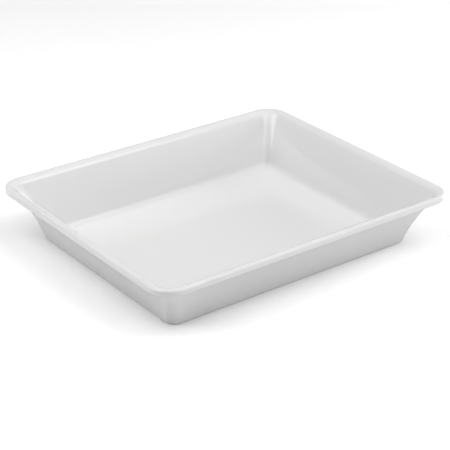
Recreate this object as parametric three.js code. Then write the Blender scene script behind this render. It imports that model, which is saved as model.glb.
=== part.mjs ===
import * as THREE from 'three';

// Developing tray for 18 x 24 cm prints: one moulding of glossy white plastic, with a flat
// floor, flared walls and a rim that turns down into a short lip.
// Millimetres, +Z up. The origin is the centre of the underside, and +X runs along the tray.

// Outline that the wall's outer face would have where it meets the surface under the tray.
const BASE_LENGTH = 269;
const BASE_WIDTH = 207;
const BASE_CORNER_RADIUS = 11;

// The rim, which stands out beyond the base by FLARE on every side.
const HEIGHT = 52;
const FLARE = 28.5;
const RIM_CORNER_RADIUS = 21.5;
const RIM_EDGE_RADIUS = 2.2; // the rounding over which the rim turns down
const RIM_LAND = 0.2; // level strip between that rounding and the shoulder

// The lip that hangs from the rim's edge.
const LIP_DEPTH = 6;
const LIP_THICKNESS = 2.8;
const LIP_EDGE_RADIUS = 1;
const LIP_ROOT_FILLET = 1.2;

// The moulding's thickness in the wall and the shoulder, and in the floor.
const WALL_THICKNESS = 3;
const FLOOR_THICKNESS = 3;

// The wall: a shoulder curves down from the rim, and one long curve runs on to the foot.
const SHOULDER_RADIUS = 9.5;
const SHOULDER_LEAN = THREE.MathUtils.degToRad(36); // wall's lean from upright, at the top
const FLOOR_FILLET = 6.5;
const FOOT_EDGE_RADIUS = 2.4;

// How finely the curves are divided.
const CORNER_STEPS = 10;
const EDGE_STEPS = 4;
const SHOULDER_STEPS = 7;
const WALL_STEPS = 9;
const FILLET_STEPS = 6;

// A section point is a Vector2: x is its distance outside the base outline, y its height.

/** Points of an arc around a centre, from one direction to another, in radians. */
function arc(centre, radius, from, to, steps) {
  const points = [];
  for (let i = 0; i <= steps; i++) {
    const direction = THREE.MathUtils.lerp(from, to, i / steps);
    points.push(new THREE.Vector2(
      centre.x + radius * Math.cos(direction),
      centre.y + radius * Math.sin(direction),
    ));
  }
  return points;
}

/** The long curve of the wall: its centre lies outside the tray, and both faces share it. */
function wallCurve(shoulderCentre) {
  const top = shoulderCentre.clone().add(new THREE.Vector2(
    -(SHOULDER_RADIUS - WALL_THICKNESS) * Math.cos(SHOULDER_LEAN),
    (SHOULDER_RADIUS - WALL_THICKNESS) * Math.sin(SHOULDER_LEAN),
  ));
  // The outer face runs from there to the base outline, so its chord fixes its radius.
  const chordLean = Math.atan2(top.x, top.y);
  const turn = 2 * (SHOULDER_LEAN - chordLean);
  const radius = top.length() / (2 * Math.sin(turn / 2));
  const centre = new THREE.Vector2(
    top.x + radius * Math.cos(SHOULDER_LEAN),
    top.y - radius * Math.sin(SHOULDER_LEAN),
  );
  return { centre, radius };
}

/** A rounding that touches a level face at the given height and the wall's curve beside it. */
function footRounding(curve, faceRadius, levelHeight, radius) {
  const rise = curve.centre.y - (levelHeight + radius);
  const reach = Math.sqrt((faceRadius + radius) ** 2 - rise ** 2);
  const centre = new THREE.Vector2(curve.centre.x - reach, levelHeight + radius);
  return { centre, direction: Math.atan2(rise, reach) };
}

/** The rounding inside the groove, between the lip's inner face and the shoulder's underside. */
function lipRoot(shoulderCentre) {
  const reach = SHOULDER_RADIUS - WALL_THICKNESS - LIP_ROOT_FILLET;
  const x = FLARE - LIP_THICKNESS - LIP_ROOT_FILLET;
  const rise = Math.sqrt(reach ** 2 - (x - shoulderCentre.x) ** 2);
  const centre = new THREE.Vector2(x, shoulderCentre.y + rise);
  return { centre, direction: Math.atan2(rise, x - shoulderCentre.x) };
}

/** The tray's section, from the edge of the flat floor, over the rim, to the flat underside. */
function section() {
  const up = Math.PI / 2;
  const down = -Math.PI / 2;
  const shoulderCentre = new THREE.Vector2(
    FLARE - RIM_EDGE_RADIUS - RIM_LAND,
    HEIGHT - SHOULDER_RADIUS,
  );
  const curve = wallCurve(shoulderCentre);
  const innerRadius = curve.radius + WALL_THICKNESS;
  const wallTop = Math.PI - SHOULDER_LEAN;

  const fillet = footRounding(curve, innerRadius, FLOOR_THICKNESS, FLOOR_FILLET);
  const foot = footRounding(curve, curve.radius, 0, FOOT_EDGE_RADIUS);
  const root = lipRoot(shoulderCentre);
  const rimEdge = new THREE.Vector2(FLARE - RIM_EDGE_RADIUS, HEIGHT - RIM_EDGE_RADIUS);
  const lipOuter = new THREE.Vector2(FLARE - LIP_EDGE_RADIUS, HEIGHT - LIP_DEPTH + LIP_EDGE_RADIUS);
  const lipInner = new THREE.Vector2(FLARE - LIP_THICKNESS + LIP_EDGE_RADIUS, lipOuter.y);

  const inside = [
    ...arc(fillet.centre, FLOOR_FILLET, down, fillet.direction, FILLET_STEPS),
    ...arc(curve.centre, innerRadius, Math.PI + fillet.direction, wallTop, WALL_STEPS).slice(1),
    ...arc(shoulderCentre, SHOULDER_RADIUS, wallTop, up, SHOULDER_STEPS).slice(1),
  ];
  const rim = [
    ...arc(rimEdge, RIM_EDGE_RADIUS, up, 0, EDGE_STEPS),
    ...arc(lipOuter, LIP_EDGE_RADIUS, 0, down, EDGE_STEPS),
    ...arc(lipInner, LIP_EDGE_RADIUS, down, -Math.PI, EDGE_STEPS),
    ...arc(root.centre, LIP_ROOT_FILLET, 0, root.direction, EDGE_STEPS),
  ];
  const outside = [
    ...arc(
      shoulderCentre,
      SHOULDER_RADIUS - WALL_THICKNESS,
      root.direction,
      wallTop,
      SHOULDER_STEPS,
    ).slice(1),
    ...arc(curve.centre, curve.radius, wallTop, Math.PI + foot.direction, WALL_STEPS).slice(1),
    ...arc(foot.centre, FOOT_EDGE_RADIUS, foot.direction, down, EDGE_STEPS).slice(1),
  ];
  return [...inside, ...rim, ...outside];
}

/** One ring of the tray's skin: a rounded rectangle that a section point draws around it. */
function ring(point) {
  const share = point.y / HEIGHT;
  const centreOffset = THREE.MathUtils.lerp(
    -BASE_CORNER_RADIUS,
    FLARE - RIM_CORNER_RADIUS,
    share,
  );
  const radius = point.x - centreOffset;
  const centreX = BASE_LENGTH / 2 + centreOffset;
  const centreY = BASE_WIDTH / 2 + centreOffset;
  const outline = new THREE.Path();
  outline.absarc(centreX, centreY, radius, 0, Math.PI / 2);
  outline.absarc(-centreX, centreY, radius, Math.PI / 2, Math.PI);
  outline.absarc(-centreX, -centreY, radius, Math.PI, 1.5 * Math.PI);
  outline.absarc(centreX, -centreY, radius, 1.5 * Math.PI, 2 * Math.PI);
  return outline.curves
    .filter((piece) => piece.isEllipseCurve)
    .flatMap((corner) => corner.getPoints(CORNER_STEPS));
}

/** A closed skin through the rings of a section, with a flat sheet across each end. */
function loft(points) {
  const rings = points.map(ring);
  const count = rings[0].length;
  const vertices = rings.flatMap((corners, i) => corners.flatMap((p) => [p.x, p.y, points[i].y]));
  const faces = [];
  for (let i = 0; i < rings.length - 1; i++) {
    for (let j = 0; j < count; j++) {
      const next = (j + 1) % count;
      const [a, b] = [i * count + j, i * count + next];
      faces.push(a, a + count, b, b, a + count, b + count);
    }
  }
  const floor = THREE.ShapeUtils.triangulateShape(rings[0], []);
  faces.push(...floor.flat());
  const last = (rings.length - 1) * count;
  const underside = THREE.ShapeUtils.triangulateShape(rings.at(-1), []);
  faces.push(...underside.flatMap(([a, b, c]) => [last + a, last + c, last + b]));

  const geometry = new THREE.BufferGeometry();
  geometry.setAttribute('position', new THREE.Float32BufferAttribute(vertices, 3));
  geometry.setIndex(faces);
  geometry.computeVertexNormals();
  return geometry;
}

const glossyWhite = new THREE.MeshStandardMaterial({
  color: 0xf2f2ef,
  roughness: 0.2,
  metalness: 0,
});

const tray = new THREE.Mesh(loft(section()), glossyWhite);
tray.name = 'tray';

const group = new THREE.Group();
group.add(tray);

export default group;
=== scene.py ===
"""Developing tray for 18 x 24 cm prints: a glossy white moulding on a pale table, in soft light."""

import math

import bpy
from mathutils import Matrix, Vector


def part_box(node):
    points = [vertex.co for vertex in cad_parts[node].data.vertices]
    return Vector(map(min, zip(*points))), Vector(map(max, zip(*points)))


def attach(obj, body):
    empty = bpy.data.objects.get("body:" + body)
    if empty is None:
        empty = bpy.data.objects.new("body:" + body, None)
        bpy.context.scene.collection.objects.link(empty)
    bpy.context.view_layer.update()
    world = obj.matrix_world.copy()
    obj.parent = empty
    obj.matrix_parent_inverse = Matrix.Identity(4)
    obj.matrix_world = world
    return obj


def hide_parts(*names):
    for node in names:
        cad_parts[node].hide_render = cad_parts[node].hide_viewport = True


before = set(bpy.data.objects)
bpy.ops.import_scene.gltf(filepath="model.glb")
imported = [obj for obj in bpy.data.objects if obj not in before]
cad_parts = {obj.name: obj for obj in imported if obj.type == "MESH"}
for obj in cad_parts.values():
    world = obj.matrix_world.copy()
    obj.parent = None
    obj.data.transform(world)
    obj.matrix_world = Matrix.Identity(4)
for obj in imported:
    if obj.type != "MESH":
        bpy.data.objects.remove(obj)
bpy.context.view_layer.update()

# The rim's outer size and the height come from the frame. All sizes are in metres.
TRAY_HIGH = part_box("tray")[1]
HEIGHT = TRAY_HIGH.z

# The rim stands out beyond the base by the flare, and turns down into a lip.
FLARE = 0.0285
RIM_CORNER_RADIUS = 0.0215
RIM_EDGE_RADIUS = 0.0022
RIM_LAND = 0.0002
LIP_DEPTH = 0.006
LIP_THICKNESS = 0.0028
LIP_EDGE_RADIUS = 0.001
LIP_ROOT_FILLET = 0.0012

# The moulding's thickness, and the curves of its section from the floor to the shoulder.
WALL_THICKNESS = 0.003
FLOOR_THICKNESS = 0.003
BASE_CORNER_RADIUS = 0.011
SHOULDER_RADIUS = 0.0095
SHOULDER_LEAN = math.radians(36)
FLOOR_FILLET = 0.0065
FOOT_EDGE_RADIUS = 0.0024

# Where the base's corners are centred, and how far the centre moves outwards on its way to the rim.
BASE_HALF_LENGTH = TRAY_HIGH.x - FLARE
BASE_HALF_WIDTH = TRAY_HIGH.y - FLARE
CORNER_X = BASE_HALF_LENGTH - BASE_CORNER_RADIUS
CORNER_Y = BASE_HALF_WIDTH - BASE_CORNER_RADIUS
CORNER_LEAN = FLARE - RIM_CORNER_RADIUS + BASE_CORNER_RADIUS

# How finely the curves are divided.
CORNER_STEPS = 28
LONG_CURVE_STEPS = 18
ROUND_STEPS = 8
FLAT_BORDER = 0.0008
SAME_PLACE = 0.00002

# The camera looks down into the tray across one corner.
CAMERA_AZIMUTH = math.radians(-37.7)
CAMERA_ELEVATION = math.radians(26.5)
CAMERA_ROLL = math.radians(0.7)
CAMERA_DISTANCE = 1.365
CAMERA_SIDESTEP = 0.0004
CAMERA_LIFT = 0.0125
CAMERA_LENS = 117.5

# The plastic's finish. Sizes and depths are in metres, and shares run from 0 to 1.
COOL_WHITE = (0.733, 0.736, 0.741)
WARM_WHITE = (0.742, 0.737, 0.725)
PLASTIC_IOR = 1.5
GLOSS_ROUGHNESS = 0.06
FLOW_SIZE = 0.07
FLOW_SHARE = 0.5
BATH_LEVEL = 0.014
STAIN_SIZE = 0.025
STAIN_SHARE = 0.3
STAIN_START = 0.4
STAIN_FULL = 0.8
HAZE_SIZE = 0.03
HAZE_SHARE = 0.04
RIPPLE_SIZE = 0.045
RIPPLE_DEPTH = 0.00012
GRAIN_SIZE = 0.0012
GRAIN_DEPTH = 0.000006
SCUFF_TURNS = [math.radians(turn) for turn in (20, 78, 143)]
SCUFF_LENGTH = 0.05
SCUFF_WIDTH = 0.0007
SCUFF_START = 0.7
SCUFF_FULL = 0.78
SCUFF_ROUGHNESS = 0.12
SCUFF_DEPTH = 0.000008

# The table and the backdrop. Each looks brighter to the camera than the light that it sheds on the tray.
TABLE_SIZE = 2.8
TABLE_WHITE = (1, 1, 1)
TABLE_SHADE = (0.99, 0.99, 0.99)
TABLE_BOUNCE = (0.84, 0.84, 0.84)
TABLE_GLOW = (0.05, 0.05, 0.05)
MOTTLE_SIZE = 0.2
BACKDROP_LIGHT = 0.06
BACKDROP_LOOK = 0.95

# The lamps: azimuth and elevation in degrees, distance, width and height in metres, power in watts.
# The two narrow strips leave bright streaks in the glossy corners, and the rest light the tray evenly.
LAMPS = {
    "left_strip": (-113, 26, 1.3, 0.3, 0.75, 4.5),
    "right_strip": (17, 26, 1.3, 0.3, 0.75, 3.4),
    "ceiling": (142, 86, 2.6, 4, 4, 21),
    "back_softbox": (142, 28, 1.8, 2.6, 1.4, 3.5),
    "front_softbox": (-38, 72, 1.8, 1.2, 0.7, 3),
    "left_softbox": (-110, 56, 1.8, 1.2, 1.0, 10),
    "right_softbox": (33, 58, 1.8, 1.2, 0.9, 11),
    "low_right_fill": (78, 14, 1.8, 1.2, 0.7, 13),
}


# ------------------------------------------------------------------ the tray's section


def deselect_all():
    """Leaves no object selected, the frame's own nodes included."""
    bpy.ops.object.select_all(action="DESELECT")


def on_arc(centre, radius, direction):
    """The point of an arc in one direction from its centre. A section's points are (x, z) Vectors."""
    return centre + radius * Vector((math.cos(direction), math.sin(direction)))


def start_drawing(name, point):
    """Starts a piece as one point of the section, in the upright plane where the corner begins."""
    deselect_all()
    bpy.ops.mesh.primitive_plane_add(size=FLOOR_THICKNESS, location=(point.x, CORNER_Y, point.y))
    piece = bpy.context.object
    piece.name = name
    bpy.ops.object.mode_set(mode="EDIT")
    bpy.ops.mesh.select_all(action="SELECT")
    bpy.ops.mesh.merge(type="CENTER")
    return piece


def draw_round(centre, turn, steps):
    """Draws on along an arc about a centre. A positive turn is anticlockwise, seen from the front."""
    middle = (centre.x, CORNER_Y, centre.y)
    bpy.ops.mesh.spin(steps=steps, angle=turn, center=middle, axis=(0, 1, 0))


def draw_straight(x, z):
    """Draws on by one straight step."""
    bpy.ops.mesh.extrude_region_move(TRANSFORM_OT_translate={"value": (x, 0, z)})


def wall_curve(shoulder):
    """Centre and outer radius of the wall's long curve, from below the shoulder to the base."""
    base = Vector((BASE_HALF_LENGTH, 0))
    top = on_arc(shoulder, SHOULDER_RADIUS - WALL_THICKNESS, math.pi - SHOULDER_LEAN)
    chord = top - base
    chord_lean = math.atan2(chord.x, chord.y)
    radius = chord.length / (2 * math.sin(SHOULDER_LEAN - chord_lean))
    centre = on_arc(top, radius, -SHOULDER_LEAN)
    return centre, radius


def foot_round(curve_centre, face_radius, level, radius):
    """Centre of a rounding between a level face and the wall's curve, and its bearing from that."""
    rise = curve_centre.y - (level + radius)
    reach = math.sqrt((face_radius + radius) ** 2 - rise ** 2)
    return Vector((curve_centre.x - reach, level + radius)), math.atan2(rise, reach)


def lip_root(shoulder, lip_inside):
    """Centre of the rounding in the groove behind the lip, and its bearing from the shoulder."""
    reach = SHOULDER_RADIUS - WALL_THICKNESS - LIP_ROOT_FILLET
    along = lip_inside - LIP_ROOT_FILLET - shoulder.x
    rise = math.sqrt(reach ** 2 - along ** 2)
    return shoulder + Vector((along, rise)), math.atan2(rise, along)


def draw_section(name):
    """Draws the whole section: up the inside, over the rim, under the lip and down to the foot."""
    upright = math.pi / 2
    rim_x = BASE_HALF_LENGTH + FLARE
    shoulder = Vector((rim_x - RIM_EDGE_RADIUS - RIM_LAND, HEIGHT - SHOULDER_RADIUS))
    curve, outer_radius = wall_curve(shoulder)
    inner_radius = outer_radius + WALL_THICKNESS
    fillet, fillet_rise = foot_round(curve, inner_radius, FLOOR_THICKNESS, FLOOR_FILLET)
    foot, foot_rise = foot_round(curve, outer_radius, 0, FOOT_EDGE_RADIUS)
    root, root_rise = lip_root(shoulder, rim_x - LIP_THICKNESS)
    rim_edge = Vector((rim_x - RIM_EDGE_RADIUS, HEIGHT - RIM_EDGE_RADIUS))
    lip_low = HEIGHT - LIP_DEPTH + LIP_EDGE_RADIUS
    lip_outside = Vector((rim_x - LIP_EDGE_RADIUS, lip_low))
    lip_inside = Vector((rim_x - LIP_THICKNESS + LIP_EDGE_RADIUS, lip_low))

    piece = start_drawing(name, Vector((fillet.x, FLOOR_THICKNESS)))
    draw_round(fillet, upright + fillet_rise, ROUND_STEPS)
    draw_round(curve, -SHOULDER_LEAN - fillet_rise, LONG_CURVE_STEPS)
    draw_round(shoulder, SHOULDER_LEAN - upright, LONG_CURVE_STEPS)
    draw_straight(RIM_LAND, 0)
    draw_round(rim_edge, -upright, ROUND_STEPS)
    draw_straight(0, lip_low - rim_edge.y)
    draw_round(lip_outside, -upright, ROUND_STEPS)
    draw_straight(lip_inside.x - lip_outside.x, 0)
    draw_round(lip_inside, -upright, ROUND_STEPS)
    draw_straight(0, root.y - lip_low)
    draw_round(root, root_rise, ROUND_STEPS)
    draw_round(shoulder, math.pi - SHOULDER_LEAN - root_rise, LONG_CURVE_STEPS)
    draw_round(curve, SHOULDER_LEAN + foot_rise, LONG_CURVE_STEPS)
    draw_round(foot, -upright - foot_rise, ROUND_STEPS)
    bpy.ops.object.mode_set(mode="OBJECT")
    bpy.ops.object.transform_apply(location=True, rotation=True, scale=True)
    return piece


# --------------------------------------------------------------------- the tray's body


def lean(piece, x, y):
    """Leans a piece with a lattice: nothing moves at the base, and the rim moves by x and y."""
    deselect_all()
    bpy.ops.object.add(type="LATTICE", location=(0, 0, HEIGHT / 2))
    cage = bpy.context.object
    cage.scale.z = HEIGHT
    cage.data.interpolation_type_w = "KEY_LINEAR"
    for point in cage.data.points:
        if point.co.z > 0:
            point.co_deform += Vector((x, y, 0))
    make_active(piece)
    bpy.ops.object.modifier_add(type="LATTICE")
    piece.modifiers[-1].object = cage
    bpy.ops.object.modifier_apply(modifier=piece.modifiers[-1].name)
    bpy.data.objects.remove(cage)


def make_active(piece):
    """Selects a piece alone, ready for an operator."""
    deselect_all()
    piece.select_set(True)
    bpy.context.view_layer.objects.active = piece


def select_points(piece, wanted):
    """In edit mode, selects just the points whose place passes a test, with their edges."""
    bpy.ops.mesh.select_mode(type="VERT")
    bpy.ops.mesh.select_all(action="DESELECT")
    bpy.ops.object.mode_set(mode="OBJECT")
    for point in piece.data.vertices:
        point.select = wanted(point.co)
    bpy.ops.object.mode_set(mode="EDIT")


def turn_corner(piece):
    """Carries the section round a corner, whose leaning axis is turned upright for the spin."""
    lean(piece, -CORNER_LEAN, 0)
    bpy.ops.object.mode_set(mode="EDIT")
    bpy.ops.mesh.select_all(action="SELECT")
    middle = (CORNER_X, CORNER_Y, 0)
    bpy.ops.mesh.spin(steps=CORNER_STEPS, angle=math.pi / 2, center=middle, axis=(0, 0, -1))
    bpy.ops.object.mode_set(mode="OBJECT")
    lean(piece, CORNER_LEAN, CORNER_LEAN)


def run_to_middle(piece):
    """Carries each end of the corner along its side, as far as the tray's middle plane."""
    slope = CORNER_LEAN / HEIGHT
    bpy.ops.object.mode_set(mode="EDIT")
    select_points(piece, lambda place: abs(place.y - CORNER_Y - slope * place.z) < SAME_PLACE)
    bpy.ops.mesh.extrude_region_move()
    bpy.ops.transform.resize(value=(1, 0, 1), center_override=(0, 0, 0))
    select_points(piece, lambda place: abs(place.x - CORNER_X - slope * place.z) < SAME_PLACE)
    bpy.ops.mesh.extrude_region_move()
    bpy.ops.transform.resize(value=(0, 1, 1), center_override=(0, 0, 0))
    bpy.ops.object.mode_set(mode="OBJECT")


def mirror_quarter(piece):
    """Makes the whole wall from one quarter."""
    make_active(piece)
    bpy.ops.object.modifier_add(type="MIRROR")
    mirror = piece.modifiers[-1]
    mirror.use_axis = (True, True, False)
    mirror.merge_threshold = SAME_PLACE
    bpy.ops.object.modifier_apply(modifier=mirror.name)


def fill_level(piece, level):
    """Fills one open end of the wall, with a narrow border that keeps the shading flat."""
    bpy.ops.object.mode_set(mode="EDIT")
    select_points(piece, lambda place: abs(place.z - level) < SAME_PLACE)
    bpy.ops.mesh.edge_face_add()
    bpy.ops.mesh.select_mode(type="FACE")
    bpy.ops.mesh.inset(thickness=FLAT_BORDER)
    bpy.ops.mesh.remove_doubles(threshold=FLAT_BORDER)
    bpy.ops.mesh.poke()
    bpy.ops.object.mode_set(mode="OBJECT")


def close_floor(piece):
    """Closes the moulding with its floor and its underside, and turns every face outwards."""
    fill_level(piece, FLOOR_THICKNESS)
    fill_level(piece, 0)
    bpy.ops.object.mode_set(mode="EDIT")
    bpy.ops.mesh.select_all(action="SELECT")
    bpy.ops.mesh.remove_doubles(threshold=SAME_PLACE)
    bpy.ops.mesh.normals_make_consistent(inside=False)
    bpy.ops.object.mode_set(mode="OBJECT")


def mould_tray():
    """The tray: one moulding, drawn in section, carried round one corner, and mirrored."""
    piece = draw_section("tray_moulding")
    turn_corner(piece)
    run_to_middle(piece)
    mirror_quarter(piece)
    close_floor(piece)
    make_active(piece)
    bpy.ops.object.shade_smooth()
    return piece


# ------------------------------------------------------------------------ the materials


class Amount:
    """A number that varies over a surface. Sums, differences and products add their Math nodes."""

    def __init__(self, finish, socket):
        self.finish = finish
        self.socket = socket

    def join(self, operation, first, second):
        settings = {"operation": operation}
        return self.finish.node("ShaderNodeMath", settings, {0: first, 1: second})

    def __add__(self, other):
        return self.join("ADD", self, other)

    def __sub__(self, other):
        return self.join("SUBTRACT", self, other)

    def __rsub__(self, other):
        return self.join("SUBTRACT", other, self)

    def __mul__(self, other):
        return self.join("MULTIPLY", self, other)

    __radd__ = __add__
    __rmul__ = __mul__


class Finish:
    """A material being mixed. One method adds any node, and the rest are named for their use."""

    def __init__(self, name):
        self.material = bpy.data.materials.new(name)
        self.material.use_nodes = True
        self.tree = self.material.node_tree
        self.shader = self.tree.nodes["Principled BSDF"]

    def node(self, kind, settings, inputs, output=0):
        """Adds a node, sets it up, feeds its sockets, and gives one of its outputs."""
        node = self.tree.nodes.new(kind)
        for name, value in settings.items():
            setattr(node, name, value)
        for name, value in inputs.items():
            self.feed(self.pick(node.inputs, name), value)
        return Amount(self, self.pick(node.outputs, output))

    def pick(self, sockets, name):
        """A socket by its place in the list, or by its name among those in use."""
        if isinstance(name, int):
            return sockets[name]
        return next(socket for socket in sockets if socket.enabled and socket.name == name)

    def feed(self, socket, value):
        if isinstance(value, Amount):
            self.tree.links.new(value.socket, socket)
        else:
            socket.default_value = value

    def set(self, **sockets):
        """Feeds the shader's own sockets, named with _ for a space."""
        for name, value in sockets.items():
            self.feed(self.shader.inputs[name.replace("_", " ")], value)

    def place(self):
        """Where a point is on the piece, in metres."""
        return self.node("ShaderNodeTexCoord", {}, {}, output="Object")

    def stretched(self, place, turn, scale):
        """The same place, turned about Z and stretched, for a pattern that runs one way."""
        inputs = {"Vector": place, "Rotation": (0, 0, turn), "Scale": scale}
        return self.node("ShaderNodeMapping", {"vector_type": "TEXTURE"}, inputs)

    def cloud(self, place, size, detail=2):
        """Soft noise from 0 to 1 whose blotches are about one size across."""
        inputs = {"Vector": place, "Scale": 1 / size, "Detail": detail}
        return self.node("ShaderNodeTexNoise", {}, inputs)

    def ramp(self, amount, start, end):
        """Rises smoothly from 0 to 1 as an amount goes from start to end."""
        settings = {"interpolation_type": "SMOOTHSTEP"}
        inputs = {"Value": amount, "From Min": start, "From Max": end}
        return self.node("ShaderNodeMapRange", settings, inputs)

    def tint(self, share, colour, other):
        """A blend of two colours, each given as three numbers or as an amount."""
        ends = [end if isinstance(end, Amount) else (*end, 1) for end in (colour, other)]
        inputs = {"Factor": share, "A": ends[0], "B": ends[1]}
        return self.node("ShaderNodeMix", {"data_type": "RGBA"}, inputs, output="Result")

    def bump(self, height, depth):
        """Relief on the surface, with its depth in metres."""
        return self.node("ShaderNodeBump", {}, {"Height": height, "Distance": depth})


def scuffs(finish, place):
    """Hairline scratches that run three ways, from 0 to 1."""
    marks = 0
    for turn in SCUFF_TURNS:
        streaks = finish.stretched(place, turn, (SCUFF_LENGTH, SCUFF_WIDTH, SCUFF_LENGTH))
        marks = marks + finish.ramp(finish.cloud(streaks, 1), SCUFF_START, SCUFF_FULL)
    return marks


def tray_plastic():
    """Glossy white plastic, nearly even, with faint flow, ripple, grain and scuffs."""
    finish = Finish("tray_plastic")
    place = finish.place()
    height = finish.node("ShaderNodeSeparateXYZ", {}, {"Vector": place}, output="Z")

    # The melt's flow shows as slow changes of white, and baths leave a breath of cream low down.
    flow = finish.cloud(place, FLOW_SIZE)
    low = finish.ramp(height, BATH_LEVEL, FLOOR_THICKNESS)
    stains = finish.ramp(finish.cloud(place, STAIN_SIZE, 4), STAIN_START, STAIN_FULL)
    cream = low * stains * STAIN_SHARE
    finish.set(Base_Color=finish.tint(flow * FLOW_SHARE + cream, COOL_WHITE, WARM_WHITE))

    # Scuffs gather where the tray is rubbed: on the floor, under the foot and along the rim.
    rubbed_low = finish.ramp(height, FLOOR_THICKNESS * 2, FLOOR_THICKNESS)
    rubbed_rim = finish.ramp(height, HEIGHT - RIM_EDGE_RADIUS, HEIGHT)
    scratches = scuffs(finish, place) * (rubbed_low + rubbed_rim)
    haze = finish.cloud(place, HAZE_SIZE, 3)
    finish.set(Roughness=haze * HAZE_SHARE + scratches * SCUFF_ROUGHNESS + GLOSS_ROUGHNESS)

    # Relief: slow ripples from uneven cooling, the mould's own fine grain, and the scratches' depth.
    ripple = finish.cloud(place, RIPPLE_SIZE, 1) * RIPPLE_DEPTH
    grain = finish.cloud(place, GRAIN_SIZE) * GRAIN_DEPTH
    finish.set(Normal=finish.bump(ripple + grain - scratches * SCUFF_DEPTH, 1))
    finish.set(IOR=PLASTIC_IOR)
    return finish.material


def table_paint():
    """Flat paint that looks white to the camera, but throws less than that onto the tray."""
    finish = Finish("table_top")
    seen = finish.node("ShaderNodeLightPath", {}, {}, output="Is Camera Ray")
    mottle = finish.cloud(finish.place(), MOTTLE_SIZE)
    paint = finish.tint(mottle, TABLE_WHITE, TABLE_SHADE)
    finish.set(Base_Color=finish.tint(seen, TABLE_BOUNCE, paint))
    finish.set(Emission_Color=finish.tint(seen, (0, 0, 0), TABLE_GLOW), Emission_Strength=1.0)
    finish.set(Roughness=1.0, Specular_IOR_Level=0.0)
    return finish.material


# --------------------------------------------------------------- table, lamps and camera


def softbox(name, azimuth, elevation, distance, width, height, power):
    """A rectangular light, aimed at the tray and hidden from the camera."""
    back = direction(math.radians(azimuth), math.radians(elevation))
    light = bpy.data.lights.new(name, "AREA")
    light.shape = "RECTANGLE"
    light.size = width
    light.size_y = height
    light.energy = power
    lamp = bpy.data.objects.new(name, light)
    bpy.context.scene.collection.objects.link(lamp)
    lamp.location = back * distance
    lamp.visible_camera = False
    lamp.rotation_mode = "QUATERNION"
    lamp.rotation_quaternion = (-back).to_track_quat("-Z", "Y")


def direction(azimuth, elevation):
    """The way out from the tray: azimuth 0 is in front of it, and elevation is above the table."""
    flat = math.cos(elevation)
    return Vector((math.sin(azimuth) * flat, -math.cos(azimuth) * flat, math.sin(elevation)))


def place_camera():
    """Sets the camera square to its line of sight, then rolls it a little."""
    back = direction(CAMERA_AZIMUTH, CAMERA_ELEVATION)
    right = Vector((math.cos(CAMERA_AZIMUTH), math.sin(CAMERA_AZIMUTH), 0))
    up = back.cross(right)
    data = bpy.data.cameras.new("camera")
    data.lens = CAMERA_LENS
    camera = bpy.data.objects.new("camera", data)
    bpy.context.scene.collection.objects.link(camera)
    square = Matrix((right, up, back)).transposed()
    turned = square @ Matrix.Rotation(CAMERA_ROLL, 3, "Z")
    camera.matrix_world = turned.to_4x4()
    camera.location = back * CAMERA_DISTANCE + right * CAMERA_SIDESTEP + up * CAMERA_LIFT
    bpy.context.scene.camera = camera


def lay_table():
    """The pale table top that the tray stands on."""
    deselect_all()
    bpy.ops.mesh.primitive_plane_add(size=TABLE_SIZE)
    table = bpy.context.object
    table.name = "table_top"
    table.data.materials.append(table_paint())


def paint_backdrop():
    """A backdrop that looks pale from every side, but sheds little light of its own."""
    world = bpy.data.worlds.new("studio")
    world.use_nodes = True
    nodes = world.node_tree.nodes
    seen = nodes.new("ShaderNodeLightPath")
    brightness = nodes.new("ShaderNodeMapRange")
    brightness.inputs["To Min"].default_value = BACKDROP_LIGHT
    brightness.inputs["To Max"].default_value = BACKDROP_LOOK
    backdrop = nodes["Background"]
    backdrop.inputs["Color"].default_value = (1, 1, 1, 1)
    world.node_tree.links.new(seen.outputs["Is Camera Ray"], brightness.inputs["Value"])
    world.node_tree.links.new(brightness.outputs["Result"], backdrop.inputs["Strength"])
    bpy.context.scene.world = world


tray = mould_tray()
tray.data.materials.append(tray_plastic())
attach(tray, "root")
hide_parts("tray")

lay_table()
for lamp_name, setting in LAMPS.items():
    softbox(lamp_name, *setting)
paint_backdrop()
place_camera()
bpy.context.scene.view_settings.view_transform = "Standard"
